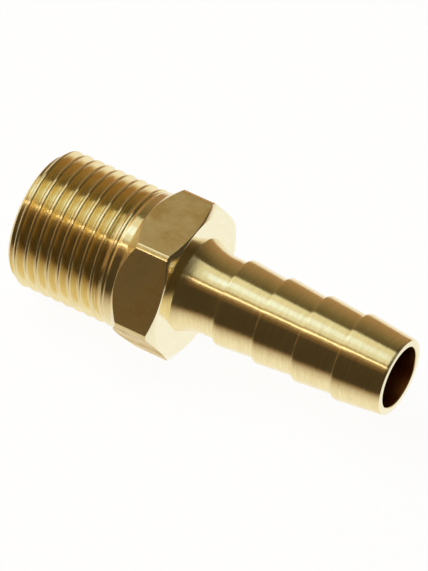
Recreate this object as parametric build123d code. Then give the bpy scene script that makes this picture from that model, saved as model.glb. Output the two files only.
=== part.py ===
from build123d import *

import os
from math import sqrt

# A straight hose barb tail in brass, machined from one length of hexagonal bar.
# It has a male pipe thread at one end, a spanner hexagon, and a barbed tail for the hose at the
# other end, with one straight bore right through.
# The axis is X. The origin is the centre of the threaded end's face, and the tail points to +X. Two
# flats of the hexagon face up and down, and the part lies on the lower one. Sizes are in mm.

# Lengths of the three sections along the axis
THREAD_LENGTH = 18.1
HEX_LENGTH = 7.8
TAIL_LENGTH = 33.5

# Spanner hexagon, with its corners turned down and its ends chamfered
ACROSS_FLATS = 22.0
CORNER_DIAMETER = 24.9
HEX_FACE_DIAMETER = 21.7
THREAD_SIDE_CHAMFER = 1.85
TAIL_SIDE_CHAMFER = 0.85

# Bore
BORE_DIAMETER = 9.3

# Male pipe thread, half inch, 14 turns to the inch, parallel and right-handed
THREAD_DIAMETER = 20.955
THREAD_PITCH = 25.4 / 14
THREAD_DEPTH = 1.162
CREST_WIDTH = 0.42
ROOT_WIDTH = 0.30
LEAD_CHAMFER = 1.3
RUNOUT_LENGTH = 3.2
PLAIN_BAND_LENGTH = 1.3

# Neck, which flares in a hollow curve into the hexagon's end face
NECK_DIAMETER = 12.0
FLARE_DIAMETER = 14.4
FLARE_LENGTH = 4.5

# Barbs, which rise from the tip and drop in a short shoulder on the hexagon's side
BARB_COUNT = 4
BARB_PITCH = 6.45
FIRST_BARB = 7.5
BARB_DIAMETER = 13.2
BARB_ROOT_DIAMETER = 12.1
BARB_LAND = 0.4
BARB_SHOULDER = 0.2
TIP_DIAMETER = 11.7
TIP_CHAMFER = 0.4
TIP_CHAMFER_DEPTH = 0.15

# The groove's cutter stands this far clear of the metal, so that it cuts right through
CUTTER_MARGIN = 0.3

TAIL_START = THREAD_LENGTH + HEX_LENGTH
OVERALL_LENGTH = TAIL_START + TAIL_LENGTH


def turned(outline):
    """The solid that a closed (x, radius) outline sweeps when it is turned about the axis."""
    return revolve(Face(Wire.make_polygon([(x, r, 0) for x, r in outline], close=True)), Axis.X)


def shank():
    """The threaded end before its thread is cut, with the lead chamfer at its face."""
    radius = THREAD_DIAMETER / 2
    return turned([
        (0, 0),
        (0, radius - LEAD_CHAMFER),
        (LEAD_CHAMFER, radius),
        (TAIL_START, radius),
        (TAIL_START, 0),
    ])


def thread_groove():
    """The helical groove of the thread, which rises out of the metal over the run-out."""
    radius = THREAD_DIAMETER / 2
    slope = (THREAD_PITCH - CREST_WIDTH - ROOT_WIDTH) / 2 / THREAD_DEPTH
    half_root = ROOT_WIDTH / 2
    half_mouth = half_root + slope * (THREAD_DEPTH + CUTTER_MARGIN)
    root_end = THREAD_LENGTH - PLAIN_BAND_LENGTH - RUNOUT_LENGTH
    start = -THREAD_PITCH
    path = Edge.make_helix(
        THREAD_PITCH, THREAD_LENGTH - start, radius, center=(start, 0, 0), normal=(1, 0, 0)
    )
    # The helix starts in the plane Z = 0, so its section is drawn there
    section = Face(Wire.make_polygon([
        (start - half_root, radius - THREAD_DEPTH, 0),
        (start + half_root, radius - THREAD_DEPTH, 0),
        (start + half_mouth, radius + CUTTER_MARGIN, 0),
        (start - half_mouth, radius + CUTTER_MARGIN, 0),
    ], close=True))
    groove = sweep(section, path=path, is_frenet=True)
    rise = THREAD_DEPTH / RUNOUT_LENGTH
    ahead = CUTTER_MARGIN / rise
    top = radius + 2 * CUTTER_MARGIN
    runout = turned([
        (root_end - ahead, 0),
        (root_end - ahead, radius - THREAD_DEPTH - CUTTER_MARGIN),
        (root_end + (top - radius + THREAD_DEPTH) / rise, top),
        (THREAD_LENGTH + 3 * THREAD_PITCH, top),
        (THREAD_LENGTH + 3 * THREAD_PITCH, 0),
    ])
    return groove - runout


def hexagon():
    """The spanner hexagon, cut from the bar and turned to its corner diameter and end chamfers."""
    bar = Plane.YZ.offset(THREAD_LENGTH) * extrude(
        RegularPolygon(ACROSS_FLATS / 2, 6, major_radius=False), HEX_LENGTH
    )
    face, corner = HEX_FACE_DIAMETER / 2, CORNER_DIAMETER / 2
    envelope = turned([
        (THREAD_LENGTH, 0),
        (THREAD_LENGTH, face),
        (THREAD_LENGTH + THREAD_SIDE_CHAMFER, corner),
        (TAIL_START - TAIL_SIDE_CHAMFER, corner),
        (TAIL_START, face),
        (TAIL_START, 0),
    ])
    return bar & envelope


def barb_outline():
    """The (x, radius) points of the barbs, from the neck out to the tip."""
    root, crest, tip = BARB_ROOT_DIAMETER / 2, BARB_DIAMETER / 2, TIP_DIAMETER / 2
    points = []
    for i in reversed(range(BARB_COUNT)):
        back = OVERALL_LENGTH - FIRST_BARB - i * BARB_PITCH
        foot = NECK_DIAMETER / 2 if i == BARB_COUNT - 1 else root
        points += [(back - BARB_SHOULDER, foot), (back, crest), (back + BARB_LAND, crest)]
    points += [
        (OVERALL_LENGTH - TIP_CHAMFER, tip),
        (OVERALL_LENGTH, tip - TIP_CHAMFER_DEPTH),
    ]
    return points


def tail():
    """The neck with its flare, and the barbs."""
    neck, flare = NECK_DIAMETER / 2, FLARE_DIAMETER / 2
    rise = flare - neck
    arc_radius = (FLARE_LENGTH**2 + rise**2) / (2 * rise)
    middle = FLARE_LENGTH / 2
    flare_end = TAIL_START + FLARE_LENGTH
    hollow = ThreePointArc(
        (TAIL_START, flare),
        (flare_end - middle, neck + arc_radius - sqrt(arc_radius**2 - middle**2)),
        (flare_end, neck),
    )
    barbs = Polyline(*[(flare_end, neck), *barb_outline(), (OVERALL_LENGTH, 0)])
    closing = Polyline((OVERALL_LENGTH, 0), (THREAD_LENGTH, 0), (THREAD_LENGTH, flare), (TAIL_START, flare))
    return revolve(make_face(Curve() + [hollow, barbs, closing]), Axis.X)


def hose_tail():
    """The whole fitting, with its bore drilled through from face to face."""
    body = shank() - thread_groove() + hexagon() + tail()
    return body - Plane.YZ * extrude(Circle(BORE_DIAMETER / 2), OVERALL_LENGTH)


os.makedirs("parts", exist_ok=True)
export_step(hose_tail(), "parts/hose_tail.step")
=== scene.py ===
import math

import bmesh
import bpy
import numpy as np
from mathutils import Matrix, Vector


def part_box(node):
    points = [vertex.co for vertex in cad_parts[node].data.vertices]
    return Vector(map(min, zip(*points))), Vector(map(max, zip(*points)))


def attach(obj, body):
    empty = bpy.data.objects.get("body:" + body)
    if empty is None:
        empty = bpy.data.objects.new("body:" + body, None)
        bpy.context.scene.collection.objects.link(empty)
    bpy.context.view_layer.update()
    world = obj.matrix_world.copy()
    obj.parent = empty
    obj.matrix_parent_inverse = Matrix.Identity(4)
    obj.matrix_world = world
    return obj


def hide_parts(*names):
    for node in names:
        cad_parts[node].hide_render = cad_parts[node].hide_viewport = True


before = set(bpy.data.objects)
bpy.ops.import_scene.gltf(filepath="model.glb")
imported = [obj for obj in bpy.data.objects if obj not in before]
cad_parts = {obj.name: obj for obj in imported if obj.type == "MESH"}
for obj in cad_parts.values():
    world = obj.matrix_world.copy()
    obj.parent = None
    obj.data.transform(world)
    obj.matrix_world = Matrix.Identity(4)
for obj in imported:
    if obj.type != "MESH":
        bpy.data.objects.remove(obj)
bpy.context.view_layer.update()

# A brass hose tail, machined from hexagonal bar, lying on one flat of its hexagon. Its whole
# surface, outside and in the bore, is one closed skin. Lengths are in millimetres up to the mesh,
# and lamps, floor and camera are in metres.
MM = 0.001
low, high = (Vector(corner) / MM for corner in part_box("hose_tail"))
OVERALL_LENGTH = high.x - low.x
ACROSS_FLATS = high.z - low.z
CORNER_RADIUS = (high.y - low.y) / 2

# The three sections along the axis
THREAD_LENGTH = 18.1
HEX_LENGTH = 7.8
TAIL_START = THREAD_LENGTH + HEX_LENGTH

# Hexagon: the radius where its chamfers meet its end faces, and the chamfers' lengths at the
# corners. CORNER_BREAK is how softly a flat goes over into a turned-down corner. The other breaks
# are roundings, by how far they reach from the edge, from the thread's side to the tail's.
HEX_FACE_RADIUS = 10.85
THREAD_SIDE_CHAMFER = 1.85
TAIL_SIDE_CHAMFER = 0.85
CORNER_BREAK = 0.02
THREAD_SIDE_FACE_BREAK = 0.07
THREAD_SIDE_FLAT_BREAK = 0.04
TAIL_SIDE_FLAT_BREAK = 0.03
TAIL_SIDE_FACE_BREAK = 0.06

# Pipe thread, half inch, 14 turns to the inch
PITCH = 25.4 / 14
CREST_RADIUS = 20.955 / 2
THREAD_DEPTH = 1.162
CREST_WIDTH = 0.42
ROOT_WIDTH = 0.30
CREST_ROUNDING = 0.2
ROOT_ROUNDING = 0.145
LEAD_CHAMFER = 1.3
RUNOUT_LENGTH = 3.2
PLAIN_BAND_LENGTH = 1.3

# Neck, barbs and tip, with the roundings along a barb (at the shoulder's foot, at its top, and
# where the land goes over into the slow rise) and those of the tip's chamfer
NECK_RADIUS = 6.0
FLARE_RADIUS = 7.2
FLARE_LENGTH = 4.5
BARB_COUNT = 4
BARB_PITCH = 6.45
FIRST_BARB = 7.5
BARB_RADIUS = 6.6
BARB_ROOT_RADIUS = 6.05
BARB_LAND = 0.4
BARB_SHOULDER = 0.2
FOOT_ROUNDING = 0.05
SHOULDER_ROUNDING = 0.035
LAND_ROUNDING = 0.15
TIP_RADIUS = 5.85
TIP_CHAMFER = 0.4
TIP_CHAMFER_DEPTH = 0.15
TIP_SIDE_BREAK = 0.06
TIP_FACE_BREAK = 0.05

# Bore, with a small chamfer at each mouth, and the rounding of the chamfer's edges
BORE_RADIUS = 4.65
BORE_EDGE = 0.12
BORE_BREAK = 0.03

# How fine the skin is: its columns near each corner of the hexagon, in degrees from it, and the
# spaces from there to the next corner's; the longest step along the thread's outline and along the
# other; the steps of a rounding and of the flare; how close points have to lie to be welded; and
# the angle above which an edge shows as sharp
CORNER_COLUMNS = (0, 0.9, 1.5, 1.85, 2.07, 2.3, 2.65, 3.2)
COLUMNS_BETWEEN = 16
THREAD_STEP = 0.12
OUTLINE_STEP = 1.6
ROUNDING_STEPS = 3
FLARE_STEPS = 9
WELD = 0.001
SHARP_EDGE = math.radians(40)

# Finishes of the skin, in the order of its material slots
TURNED, DRAWN, DRILLED, FACED = range(4)

# The angle from one corner of the hexagon to the next, and half the angle that a turned-down
# corner takes up
SECTOR = math.radians(60)
HALF_CORNER = SECTOR / 2 - math.acos(ACROSS_FLATS / 2 / CORNER_RADIUS)


def column_angles():
    """Angles of the skin's columns about the axis, from +Y towards +Z, once round with both ends.

    The hexagon's corners lie at whole multiples of 60 degrees. Near each corner the columns stand
    close, at CORNER_COLUMNS degrees on either side, and between them they are evenly spaced.
    """
    near = np.array(CORNER_COLUMNS, float)
    between = np.linspace(near[-1], 60 - near[-1], COLUMNS_BETWEEN + 1)[1:-1]
    sector = np.concatenate([near, between, 60 - near[:0:-1]])
    return np.radians(np.append((sector + 60 * np.arange(6)[:, None]).ravel(), 360))


ANGLES = column_angles()


def outline_rows(corners, step):
    """Rows of (x, radius) along an outline, a point for each column, with the finish of each row.

    A corner is (x, radius, rounding, finish): x and radius are one number, or one for each column,
    and the finish is that of the line that leaves the corner. Straight lines are divided evenly, no
    further apart than step. Within its rounding r of a corner C, with unit ways a back to the
    corner before and b on to the next, the line is (1-t)^2 (C + r a) + 2t(1-t) C + t^2 (C + r b),
    for t from 0 to 1.
    """
    points = np.stack([
        np.stack([np.broadcast_to(value, ANGLES.shape) for value in corner[:2]], axis=-1)
        for corner in corners
    ])
    legs = np.diff(points, axis=0)
    ways = legs / np.linalg.norm(legs, axis=-1, keepdims=True)
    rows, finishes = [points[:1]], []
    start = points[0]
    for i, way in enumerate(ways):
        corner, (_, _, rounding, _) = points[i + 1], corners[i + 1]
        end = corner - rounding * way
        count = math.ceil(np.linalg.norm(end - start, axis=-1).max() / step)
        t = np.linspace(0, 1, count + 1)[1:, None, None]
        rows.append(start + t * (end - start))
        finishes += [corners[i][3]] * count
        start = end
        if rounding:
            t = np.linspace(0, 1, ROUNDING_STEPS + 1)[1:, None, None]
            start = corner + rounding * ways[i + 1]
            rows.append((1 - t)**2 * end + 2 * t * (1 - t) * corner + t**2 * start)
            finishes += [corners[i + 1][3]] * ROUNDING_STEPS
    return np.concatenate(rows), finishes


def thread_rows():
    """Rows of the threaded end, which run along the helix of the thread.

    One turn of the profile is crest, flank, root, flank, with rounded corners. Its points go to
    x = distance along the turn + PITCH * (turn + angle / 360 degrees), held between the two ends,
    so the turns start and stop outside the thread. The radius is then cut down to the lead
    chamfer's cone, radius = x + a constant, and lifted to the run-out's cone, which rises from the
    root to the crest over RUNOUT_LENGTH.
    """
    root_radius = CREST_RADIUS - THREAD_DEPTH
    half_crest, half_root = CREST_WIDTH / 2, ROOT_WIDTH / 2
    turn, _ = outline_rows([
        (0, CREST_RADIUS, 0, TURNED),
        (half_crest, CREST_RADIUS, CREST_ROUNDING, TURNED),
        (PITCH / 2 - half_root, root_radius, ROOT_ROUNDING, TURNED),
        (PITCH / 2 + half_root, root_radius, ROOT_ROUNDING, TURNED),
        (PITCH - half_crest, CREST_RADIUS, CREST_ROUNDING, TURNED),
        (PITCH, CREST_RADIUS, 0, TURNED),
    ], THREAD_STEP)
    turns = np.arange(-1.5, THREAD_LENGTH / PITCH + 0.5)
    x = turn[None, :-1, :, 0] + PITCH * (turns[:, None, None] + ANGLES / math.tau)
    x = np.clip(x, 0, THREAD_LENGTH)
    radius = np.broadcast_to(turn[None, :-1, :, 1], x.shape)
    radius = np.minimum(radius, CREST_RADIUS - LEAD_CHAMFER + x)
    root_end = THREAD_LENGTH - PLAIN_BAND_LENGTH - RUNOUT_LENGTH
    runout = root_radius + (x - root_end) * THREAD_DEPTH / RUNOUT_LENGTH
    radius = np.maximum(radius, np.minimum(runout, CREST_RADIUS))
    rows = np.stack([x, radius], axis=-1).reshape(-1, len(ANGLES), 2)
    return rows, [TURNED] * len(rows)


def bar_radius():
    """Radius of the hexagonal bar at each column: half the flats' distance / cos(angle from the
    flat's middle), or the turned-down corner's radius where that is less. The lesser of two radii
    a and b is taken softly, as -k ln(e^(-a/k) + e^(-b/k)) with k = CORNER_BREAK, which breaks the
    edge between them."""
    off_flat = (ANGLES % SECTOR) - SECTOR / 2
    flat = ACROSS_FLATS / 2 / np.cos(off_flat)
    return -CORNER_BREAK * np.logaddexp(-flat / CORNER_BREAK, -CORNER_RADIUS / CORNER_BREAK)


def hexagon_corners():
    """Outline of the hexagon. Each end chamfer is a cone, which the bar's radius meets further from
    the end at a corner than at a flat, so that the flats end in arcs."""
    bar = bar_radius()
    rise = CORNER_RADIUS - HEX_FACE_RADIUS
    thread_side = THREAD_LENGTH + THREAD_SIDE_CHAMFER * (bar - HEX_FACE_RADIUS) / rise
    tail_side = TAIL_START - TAIL_SIDE_CHAMFER * (bar - HEX_FACE_RADIUS) / rise
    return [
        (THREAD_LENGTH, CREST_RADIUS, 0, TURNED),
        (THREAD_LENGTH, HEX_FACE_RADIUS, THREAD_SIDE_FACE_BREAK, TURNED),
        (thread_side, bar, THREAD_SIDE_FLAT_BREAK, DRAWN),
        (tail_side, bar, TAIL_SIDE_FLAT_BREAK, FACED),
        (TAIL_START, HEX_FACE_RADIUS, TAIL_SIDE_FACE_BREAK, FACED),
    ]


def neck_corners():
    """Outline of the neck's hollow flare: an arc of radius R that is tangent to the neck, so that
    at a distance d before its end the radius is neck + R - sqrt(R^2 - d^2)."""
    rise = FLARE_RADIUS - NECK_RADIUS
    arc = (FLARE_LENGTH**2 + rise**2) / (2 * rise)
    before = np.linspace(FLARE_LENGTH, 0, FLARE_STEPS + 1)
    radii = NECK_RADIUS + arc - np.sqrt(arc**2 - before**2)
    return [
        (TAIL_START + FLARE_LENGTH - d, radius, 0, TURNED) for d, radius in zip(before, radii)
    ]


def barb_corners():
    """Outline of the barbs, from the neck to the tip's face and into the bore's mouth."""
    corners = []
    for i in reversed(range(BARB_COUNT)):
        back = OVERALL_LENGTH - FIRST_BARB - i * BARB_PITCH
        foot = NECK_RADIUS if i == BARB_COUNT - 1 else BARB_ROOT_RADIUS
        corners += [
            (back - BARB_SHOULDER, foot, FOOT_ROUNDING, TURNED),
            (back, BARB_RADIUS, SHOULDER_ROUNDING, TURNED),
            (back + BARB_LAND, BARB_RADIUS, LAND_ROUNDING, TURNED),
        ]
    return corners + [
        (OVERALL_LENGTH - TIP_CHAMFER, TIP_RADIUS, TIP_SIDE_BREAK, TURNED),
        (OVERALL_LENGTH, TIP_RADIUS - TIP_CHAMFER_DEPTH, TIP_FACE_BREAK, FACED),
        (OVERALL_LENGTH, BORE_RADIUS + BORE_EDGE, BORE_BREAK, TURNED),
    ]


def bore_corners():
    """Outline of the bore and of the threaded end's face, out to its lead chamfer."""
    return [
        (OVERALL_LENGTH - BORE_EDGE, BORE_RADIUS, BORE_BREAK, DRILLED),
        (BORE_EDGE, BORE_RADIUS, BORE_BREAK, TURNED),
        (0, BORE_RADIUS + BORE_EDGE, BORE_BREAK, FACED),
        (0, CREST_RADIUS - LEAD_CHAMFER, 0, TURNED),
    ]


def fitting_skin():
    """The whole surface as one mesh: rows of (x, radius) go to (x, radius cos a, radius sin a) at
    each column's angle a. The rows come back to where they start, so that the skin is closed both
    ways, and the points that fall together at the seam and where the helix meets the end faces are
    welded. Between the hexagon's chamfers the flats are drawn and the corners are turned."""
    thread, thread_finishes = thread_rows()
    corners = hexagon_corners() + neck_corners() + barb_corners() + bore_corners()
    rest, rest_finishes = outline_rows(corners, OUTLINE_STEP)
    rows = np.concatenate([thread, rest])
    x, radius = rows[..., 0], rows[..., 1]
    places = np.stack([x, radius * np.cos(ANGLES), radius * np.sin(ANGLES)], axis=-1) * MM
    height, width = x.shape
    index = np.arange(height * width).reshape(height, width)
    quads = np.stack([index[:-1, :-1], index[:-1, 1:], index[1:, 1:], index[1:, :-1]], axis=-1)
    finish = np.repeat(np.array(thread_finishes + rest_finishes)[:, None], width - 1, axis=1)
    middles = (ANGLES[:-1] + ANGLES[1:]) / 2
    at_corner = (middles + HALF_CORNER) % SECTOR < 2 * HALF_CORNER
    finish[(finish == DRAWN) & at_corner] = TURNED
    mesh = bpy.data.meshes.new("fitting")
    mesh.from_pydata(places.reshape(-1, 3), [], quads.reshape(-1, 4).tolist())
    mesh.polygons.foreach_set("material_index", finish.ravel())
    weld = bmesh.new()
    weld.from_mesh(mesh)
    bmesh.ops.remove_doubles(weld, verts=weld.verts, dist=WELD * MM)
    weld.to_mesh(mesh)
    weld.free()
    mesh.polygons.foreach_set("use_smooth", np.ones(len(mesh.polygons), bool))
    mesh.set_sharp_from_angle(angle=SHARP_EDGE)
    return mesh


def linear(code):
    """An sRGB hex colour as linear red, green, blue and alpha."""
    parts = np.array([int(code[i:i + 2], 16) for i in (1, 3, 5)]) / 255
    return (*np.where(parts <= 0.04045, parts / 12.92, ((parts + 0.055) / 1.055)**2.4), 1.0)


def add_node(tree, kind, links=None, **settings):
    """Adds a node of a kind. Each of links is a value for one of its inputs, or a socket to join to
    it. A mix of two colours takes them at its inputs 6 and 7, and gives the mix at output 2."""
    node = tree.nodes.new(kind)
    for name, value in settings.items():
        setattr(node, name, value)
    for key, value in (links or {}).items():
        if isinstance(value, bpy.types.NodeSocket):
            tree.links.new(value, node.inputs[key])
        else:
            node.inputs[key].default_value = value
    return node


def new_material(name):
    """A new material, its tree, and the Object coordinates that its patterns are laid on."""
    material = bpy.data.materials.new(name)
    material.use_nodes = True
    tree = material.node_tree
    tree.nodes.clear()
    return material, tree, add_node(tree, "ShaderNodeTexCoord").outputs["Object"]


def noise(tree, place, lengths, detail=3.0, roughness=0.5):
    """Noise between 0 and 1 whose marks have the given lengths along X, Y and Z, in mm."""
    scale = [1 / (length * MM) for length in lengths]
    stretched = add_node(tree, "ShaderNodeMapping", {"Vector": place, "Scale": scale}).outputs[0]
    return add_node(tree, "ShaderNodeTexNoise", {
        "Vector": stretched, "Scale": 1.0, "Detail": detail, "Roughness": roughness,
    }).outputs["Fac"]


def finish_metal(tree, colour, roughness, bump, more=None):
    """Ends a material as bare metal. More holds further inputs of its shader."""
    shader = add_node(tree, "ShaderNodeBsdfPrincipled", {
        "Base Color": colour, "Metallic": 1.0, "Roughness": roughness, "Normal": bump,
        **(more or {}),
    })
    add_node(tree, "ShaderNodeOutputMaterial", {"Surface": shader.outputs[0]})


# Rings that the lathe's tool leaves: how far apart they lie and how far each runs round, in mm, and
# how much they change the roughness each way
RING_FEED, RING_ARC = 0.45, 4.0
RING_ROUGHNESS = 0.05

# The threaded end is cut this much duller up to the first of these places on the axis, in mm, and
# no duller from the second on, where the run-out ends
CUT_DULLER = 0.02
CUT_START, CUT_END = 15.5, 17.0


def lathe_brass(name, pale, deep, dull, groove_height, stretch):
    """Free-cutting brass, turned on a lathe: a bright metal whose fine rings run round the axis and
    pull each reflection out along it. The rings follow x + radius, so that they show on end faces
    as well as along the axis. They are deep in colour where they are low, and pale where they are
    high. Dull is the roughness, groove_height is in mm, and stretch is how far reflections are
    pulled out, 1 being the most."""
    material, tree, place = new_material(name)
    x, y, z = add_node(tree, "ShaderNodeSeparateXYZ", {0: place}).outputs
    off_axis = add_node(tree, "ShaderNodeCombineXYZ", {1: y, 2: z}).outputs[0]
    radius = add_node(
        tree, "ShaderNodeVectorMath", {0: off_axis}, operation="LENGTH"
    ).outputs["Value"]
    along = add_node(tree, "ShaderNodeMath", {0: x, 1: radius}, operation="ADD").outputs[0]
    rings = add_node(tree, "ShaderNodeCombineXYZ", {0: along, 1: y, 2: z}).outputs[0]
    grooves = noise(tree, rings, (RING_FEED, RING_ARC, RING_ARC), detail=5.0, roughness=0.7)
    worn = add_node(tree, "ShaderNodeMapRange", {
        "Value": grooves, "To Min": dull - RING_ROUGHNESS, "To Max": dull + RING_ROUGHNESS,
    }).outputs[0]
    cut = add_node(tree, "ShaderNodeMapRange", {
        "Value": x, "From Min": CUT_END * MM, "From Max": CUT_START * MM, "To Max": CUT_DULLER,
    }).outputs[0]
    roughness = add_node(tree, "ShaderNodeMath", {0: worn, 1: cut}, operation="ADD").outputs[0]
    bump = add_node(tree, "ShaderNodeBump", {
        "Height": grooves, "Strength": 0.6, "Distance": groove_height * MM,
    }).outputs[0]
    paleness = add_node(tree, "ShaderNodeMapRange", {
        "Value": grooves, "From Min": 0.35, "From Max": 0.65,
    }).outputs[0]
    colour = add_node(tree, "ShaderNodeMix", {
        "Factor": paleness, 6: linear(deep), 7: linear(pale),
    }, data_type="RGBA").outputs[2]
    around = add_node(tree, "ShaderNodeTangent", direction_type="RADIAL", axis="X").outputs[0]
    finish_metal(tree, colour, roughness, bump, {
        "Anisotropic": stretch, "Anisotropic Rotation": 0.25, "Tangent": around,
    })
    return material


def turned_brass():
    """The thread, the hexagon's corners, the neck and the barbs, turned along the axis."""
    return lathe_brass(
        "turned_brass", "#f6e6af", "#edd9a1", dull=0.21, groove_height=0.045, stretch=0.85
    )


def faced_brass():
    """The end faces and the hexagon's tail-side chamfer, faced off with a broad tool: smoother, and
    painted paler than the turned brass, a painted sheen that brightens the reflection these faces
    show."""
    return lathe_brass(
        "faced_brass", "#f8f0cd", "#f4eac2", dull=0.1, groove_height=0.004, stretch=0.5
    )


# Draw lines of the bar, and the patches in which handling has worn and stained it, in mm
LINE_LENGTH, LINE_WIDTH = 11.1, 0.385
PATCH_SIZE = 4.0


def drawn_brass_bar():
    """The bar's own surface on the hexagon's flats, drawn through a die: duller than a turned face,
    with fine draw lines along the axis, and unevenly worn and stained by handling."""
    material, tree, place = new_material("drawn_brass_bar")
    lines = noise(tree, place, (LINE_LENGTH, LINE_WIDTH, LINE_WIDTH))
    patches = noise(tree, place, (PATCH_SIZE, PATCH_SIZE, PATCH_SIZE), roughness=0.6)
    roughness = add_node(tree, "ShaderNodeMapRange", {
        "Value": patches, "From Min": 0.3, "From Max": 0.7, "To Min": 0.42, "To Max": 0.6,
    }).outputs[0]
    uneven = add_node(tree, "ShaderNodeBump", {
        "Height": patches, "Strength": 0.6, "Distance": 0.15 * MM,
    }).outputs[0]
    bump = add_node(tree, "ShaderNodeBump", {
        "Height": lines, "Strength": 0.5, "Distance": 0.01 * MM, "Normal": uneven,
    }).outputs[0]
    stain = add_node(tree, "ShaderNodeMapRange", {
        "Value": patches, "From Min": 0.35, "From Max": 0.65,
    }).outputs[0]
    colour = add_node(tree, "ShaderNodeMix", {
        "Factor": stain, 6: linear("#f6de9f"), 7: linear("#d8b873"),
    }, data_type="RGBA").outputs[2]
    finish_metal(tree, colour, roughness, bump)
    return material


# Rings that the drill's lips leave in the bore: how far apart they lie and how far each runs round,
# in mm
DRILL_FEED, DRILL_ARC = 0.4545, 8.333


def drilled_brass():
    """The bore's wall, as the drill left it: dull, with coarse rings from the drill's lips."""
    material, tree, place = new_material("drilled_brass")
    rings = noise(tree, place, (DRILL_FEED, DRILL_ARC, DRILL_ARC))
    bump = add_node(tree, "ShaderNodeBump", {
        "Height": rings, "Strength": 0.4, "Distance": 0.03 * MM,
    }).outputs[0]
    colour = add_node(tree, "ShaderNodeMix", {
        "Factor": rings, 6: linear("#cf9454"), 7: linear("#a97038"),
    }, data_type="RGBA").outputs[2]
    finish_metal(tree, colour, 0.34, bump)
    return material


def add_fitting():
    """The fitting's skin as an object, which stands for the CAD node."""
    mesh = fitting_skin()
    for material in (turned_brass(), drawn_brass_bar(), drilled_brass(), faced_brass()):
        mesh.materials.append(material)
    fitting = bpy.data.objects.new("hose_tail_skin", mesh)
    bpy.context.scene.collection.objects.link(fitting)
    even = fitting.modifiers.new("even_shading", "WEIGHTED_NORMAL")
    even.keep_sharp = True
    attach(fitting, "root")
    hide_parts("hose_tail")


# The photograph's view: its direction, and where the middle of the barbed tip's face shows, in the
# photograph's pixels
PHOTO_WIDTH, PHOTO_HEIGHT = 428, 571
VIEW_AZIMUTH, VIEW_ELEVATION = math.radians(31.43), math.radians(48.28)
TIP_PIXEL = (399.5, 377.65)
LENS, FILM = 400.0, 36.0
TIP_DISTANCE = 0.8915

# The level way from the fitting to the camera
FRONT = Vector((math.sin(VIEW_AZIMUTH), -math.cos(VIEW_AZIMUTH), 0))

# White paper under the fitting. The camera sees it white all over, most of it a glow, and the rest
# light on a matt grey, which takes the fitting's shadow. In the metal it shows white near the axis,
# and fades over a warm edge to the colour of the room, at the front and the back, on Y, and past
# the tip, on X: each way, how far it is white, and where it has faded out.
FLOOR_SIZE = 1.6
FLOOR_HEIGHT = low.z * MM
PAPER_FRONT = (-0.006, -0.058)
PAPER_BACK = (0.045, 0.14)
PAPER_END = (0.06, 0.115)
PAPER_GLOW = 0.93
PAPER_MATT = "#6c6c6c"
PAPER_EDGE = "#c89654"

# Colours of the room: on the camera's side, low and high on the far side, and past the thread
DARK_ROOM, TAN_ROOM, OLIVE_ROOM, BRIGHT_ROOM = "#483e2e", "#b39270", "#7a7052", "#c29d72"
WHITE = (1, 1, 1, 1)


def white_paper():
    """White paper: a matt surface that takes the fitting's shadow, with a glow that only the camera
    and reflections see."""
    material, tree, place = new_material("white_paper")
    x, y, _ = add_node(tree, "ShaderNodeSeparateXYZ", {0: place}).outputs
    front, back, end = (add_node(
        tree, "ShaderNodeMapRange", {"Value": value, "From Min": faded, "From Max": white},
        interpolation_type="SMOOTHSTEP",
    ).outputs[0] for value, (white, faded) in (
        (y, PAPER_FRONT), (y, PAPER_BACK), (x, PAPER_END),
    ))
    sides = add_node(tree, "ShaderNodeMath", {0: front, 1: back}, operation="MULTIPLY").outputs[0]
    paper = add_node(tree, "ShaderNodeMath", {0: sides, 1: end}, operation="MULTIPLY").outputs[0]
    sheet = add_node(tree, "ShaderNodeMix", {
        "Factor": paper, 6: linear(PAPER_EDGE), 7: WHITE,
    }, data_type="RGBA").outputs[2]
    behind = add_node(tree, "ShaderNodeMapRange", {
        "Value": y, "From Min": 0.0, "From Max": PAPER_BACK[0],
    }).outputs[0]
    tan = add_node(tree, "ShaderNodeMath", {0: behind, 1: end}, operation="MULTIPLY").outputs[0]
    ground = add_node(tree, "ShaderNodeMix", {
        "Factor": tan, 6: linear(DARK_ROOM), 7: linear(TAN_ROOM),
    }, data_type="RGBA").outputs[2]
    shown = add_node(tree, "ShaderNodeMix", {
        "Factor": paper, 6: ground, 7: sheet,
    }, data_type="RGBA").outputs[2]
    mirrored = add_node(tree, "ShaderNodeEmission", {"Color": shown})
    path = add_node(tree, "ShaderNodeLightPath").outputs
    seen = add_node(
        tree, "ShaderNodeMath", {0: path["Is Camera Ray"], 1: PAPER_GLOW}, operation="MULTIPLY"
    )
    glow = add_node(tree, "ShaderNodeEmission", {"Color": WHITE, "Strength": seen.outputs[0]})
    matt = add_node(tree, "ShaderNodeBsdfDiffuse", {"Color": linear(PAPER_MATT)})
    plain = add_node(tree, "ShaderNodeAddShader", {0: glow.outputs[0], 1: matt.outputs[0]})
    surface = add_node(tree, "ShaderNodeMixShader", {
        0: path["Is Glossy Ray"], 1: plain.outputs[0], 2: mirrored.outputs[0],
    })
    add_node(tree, "ShaderNodeOutputMaterial", {"Surface": surface.outputs[0]})
    return material


def add_floor():
    """The sheet of paper, flat under the fitting."""
    half = FLOOR_SIZE / 2
    outline = ((-half, -half), (half, -half), (half, half), (-half, half))
    mesh = bpy.data.meshes.new("floor")
    mesh.from_pydata([(x, y, FLOOR_HEIGHT) for x, y in outline], [], [(0, 1, 2, 3)])
    mesh.materials.append(white_paper())
    floor = bpy.data.objects.new("floor", mesh)
    bpy.context.scene.collection.objects.link(floor)


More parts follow.
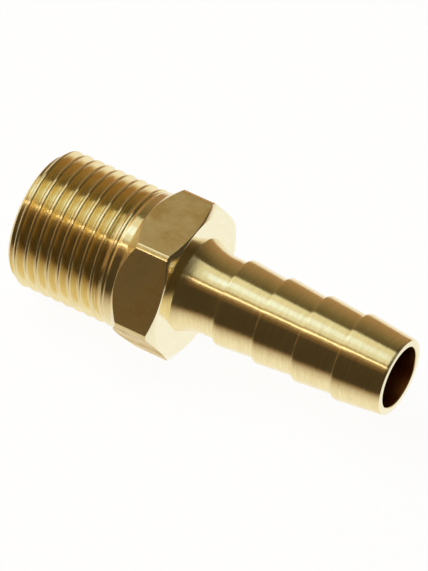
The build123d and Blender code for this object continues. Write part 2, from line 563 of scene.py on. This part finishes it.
def add_room():
    """The room around: white to the camera. To everything else it is dim: dark on the camera's
    side, and on the far side tan near the floor and olive higher up. It is brighter past the
    threaded end. The limits of each change are cosines of the angle to the camera's side, to
    straight up, or to the fitting's axis."""
    world = bpy.data.worlds.new("room")
    world.use_nodes = True
    tree = world.node_tree
    tree.nodes.clear()
    way = add_node(tree, "ShaderNodeTexCoord").outputs["Generated"]
    along, _, upward = add_node(tree, "ShaderNodeSeparateXYZ", {0: way}).outputs
    forward = add_node(
        tree, "ShaderNodeVectorMath", {0: way, 1: FRONT}, operation="DOT_PRODUCT"
    ).outputs["Value"]
    behind = add_node(tree, "ShaderNodeMapRange", {
        "Value": forward, "From Min": -0.1, "From Max": -0.9,
    }, interpolation_type="SMOOTHSTEP").outputs[0]
    up = add_node(tree, "ShaderNodeMapRange", {
        "Value": upward, "From Min": -0.1, "From Max": 0.8,
    }).outputs[0]
    past_thread = add_node(tree, "ShaderNodeMapRange", {
        "Value": along, "From Min": -0.6, "From Max": -0.85,
    }, interpolation_type="SMOOTHSTEP").outputs[0]
    far = add_node(tree, "ShaderNodeMix", {
        "Factor": up, 6: linear(TAN_ROOM), 7: linear(OLIVE_ROOM),
    }, data_type="RGBA").outputs[2]
    around = add_node(tree, "ShaderNodeMix", {
        "Factor": behind, 6: linear(DARK_ROOM), 7: far,
    }, data_type="RGBA").outputs[2]
    dim = add_node(tree, "ShaderNodeMix", {
        "Factor": past_thread, 6: around, 7: linear(BRIGHT_ROOM),
    }, data_type="RGBA").outputs[2]
    seen = add_node(tree, "ShaderNodeLightPath").outputs["Is Camera Ray"]
    colour = add_node(tree, "ShaderNodeMix", {
        "Factor": seen, 6: dim, 7: WHITE,
    }, data_type="RGBA").outputs[2]
    glow = add_node(tree, "ShaderNodeBackground", {"Color": colour, "Strength": 1.0})
    add_node(tree, "ShaderNodeOutputWorld", {"Surface": glow.outputs[0]})
    bpy.context.scene.world = world


# Lamps stand along the fitting's axis, this far from it, and start and end at these distances from
# the fitting's middle. They reach further past the thread than past the tip, because the camera
# stands on the tip's side, and what the metal shows it lies on the other.
LAMP_DISTANCE = 0.6
LAMP_START, LAMP_END = -1.27, 0.23


def add_softbox(name, angle, width, brightness, colour, end=LAMP_END):
    """A long lamp whose middle line runs along the fitting's axis, at an angle about it in degrees
    from +Y towards +Z, and which is as wide as a given angle. Its brightness is the level at which
    it shows in a mirror, 1 being white."""
    lamp = bpy.data.lights.new(name, "AREA")
    lamp.shape = "RECTANGLE"
    lamp.size = end - LAMP_START
    lamp.size_y = 2 * LAMP_DISTANCE * math.tan(math.radians(width / 2))
    lamp.energy = brightness * math.pi * lamp.size * lamp.size_y
    lamp.color = linear(colour)[:3]
    softbox = bpy.data.objects.new(name, lamp)
    turn = math.radians(angle)
    aside = Vector((0, math.cos(turn), math.sin(turn)))
    middle = OVERALL_LENGTH / 2 * MM + (LAMP_START + end) / 2
    softbox.location = Vector((middle, 0, 0)) + aside * LAMP_DISTANCE
    softbox.rotation_euler = (turn - math.pi / 2, 0, 0)
    bpy.context.scene.collection.objects.link(softbox)


def add_lamps():
    """A wide softbox overhead with a brighter, bluer middle, which stops short of the tip's end.
    Beside it on the camera's side is a narrow strip, with two dimmer, warmer lamps round it."""
    add_softbox("overhead", 88.5, 44, 1.0, "#e8eadf")
    add_softbox("overhead_middle", 91.5, 15, 0.95, "#86b6ff", end=-0.03)
    add_softbox("strip", 118.5, 3.1, 2.8, "#fffcec")
    add_softbox("strip_skirt", 118, 14, 0.26, "#ffd494")
    add_softbox("strip_glow", 125, 20, 0.1, "#ffc078")


def add_camera():
    """The camera, placed so that the tip's face shows at TIP_PIXEL."""
    right = Vector((math.cos(VIEW_AZIMUTH), math.sin(VIEW_AZIMUTH), 0))
    back = FRONT * math.cos(VIEW_ELEVATION) + Vector((0, 0, math.sin(VIEW_ELEVATION)))
    up = back.cross(right)
    pixel = FILM / LENS / max(PHOTO_WIDTH, PHOTO_HEIGHT) * TIP_DISTANCE
    tip = Vector((OVERALL_LENGTH * MM, 0, 0))
    data = bpy.data.cameras.new("camera")
    data.lens, data.sensor_width = LENS, FILM
    data.clip_start, data.clip_end = 0.05, 10
    camera = bpy.data.objects.new("camera", data)
    camera.location = (
        tip + back * TIP_DISTANCE
        - right * (TIP_PIXEL[0] - PHOTO_WIDTH / 2) * pixel
        + up * (TIP_PIXEL[1] - PHOTO_HEIGHT / 2) * pixel
    )
    camera.rotation_euler = (math.pi / 2 - VIEW_ELEVATION, 0, VIEW_AZIMUTH)
    bpy.context.scene.collection.objects.link(camera)
    bpy.context.scene.camera = camera


add_fitting()
add_floor()
add_room()
add_lamps()
add_camera()
bpy.context.scene.view_settings.view_transform = "Standard"
